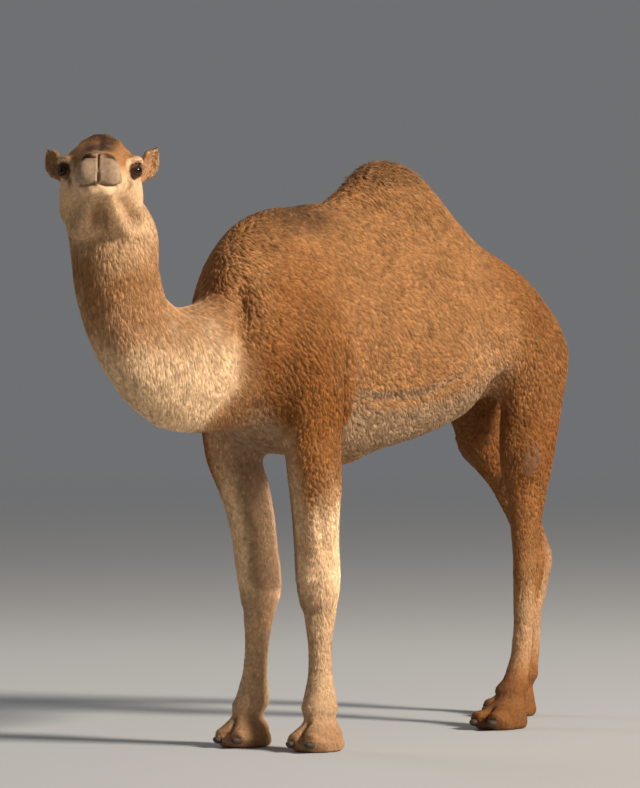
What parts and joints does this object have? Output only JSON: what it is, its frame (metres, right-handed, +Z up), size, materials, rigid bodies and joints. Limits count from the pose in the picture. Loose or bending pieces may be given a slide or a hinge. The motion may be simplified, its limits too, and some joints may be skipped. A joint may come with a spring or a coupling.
{
  "type": "dromedary camel",
  "caption": "Life-size standing dromedary camel: single hump, long low-slung neck, head turned to its left, woolly tan coat, padded feet.",
  "frame": {"origin": "on the floor, under the centre of the whole model's box", "axes": "+Z up, the animal faces -Y, its left side is towards +X"},
  "size_m": [0.6134, 3.0842, 2.0841],
  "materials": {
    "coat": "woolly tan coat in short clumps, matt, pale tips over darker roots",
    "pale_coat": "short pale sand-coloured hair on the neck's underside, jaw, cannons and feet",
    "dark_hair": "long dark brown hair of the tail's end",
    "callus": "hairless horny pad, dry and finely cracked",
    "eye": "wet dark brown eye with a black level pupil",
    "nail": "dull dark horn, worn paler at the edge"
  },
  "bodies": {
    "root": {"trunk": "coat", "hump": "coat", "chest_pad": "callus", "neck_base": "pale_coat", "neck_middle": "pale_coat", "neck_upper": "coat", "head": "coat", "lower_jaw": "pale_coat", "ear_left": "coat", "ear_right": "coat", "eye_left": "eye", "eye_right": "eye", "tail": "coat", "tail_tuft": "dark_hair", "leg_front_left_upper": "coat", "leg_front_left_lower": "pale_coat", "foot_front_left": "pale_coat", "leg_front_right_upper": "coat", "leg_front_right_lower": "pale_coat", "foot_front_right": "pale_coat", "leg_hind_left_upper": "coat", "leg_hind_left_lower": "pale_coat", "foot_hind_left": "pale_coat", "leg_hind_right_upper": "coat", "leg_hind_right_lower": "pale_coat", "foot_hind_right": "pale_coat", "nail_front_left_inner": "nail", "nail_front_left_outer": "nail", "nail_front_right_inner": "nail", "nail_front_right_outer": "nail", "nail_hind_left_inner": "nail", "nail_hind_left_outer": "nail", "nail_hind_right_inner": "nail", "nail_hind_right_outer": "nail"}
  },
  "joints": []
}
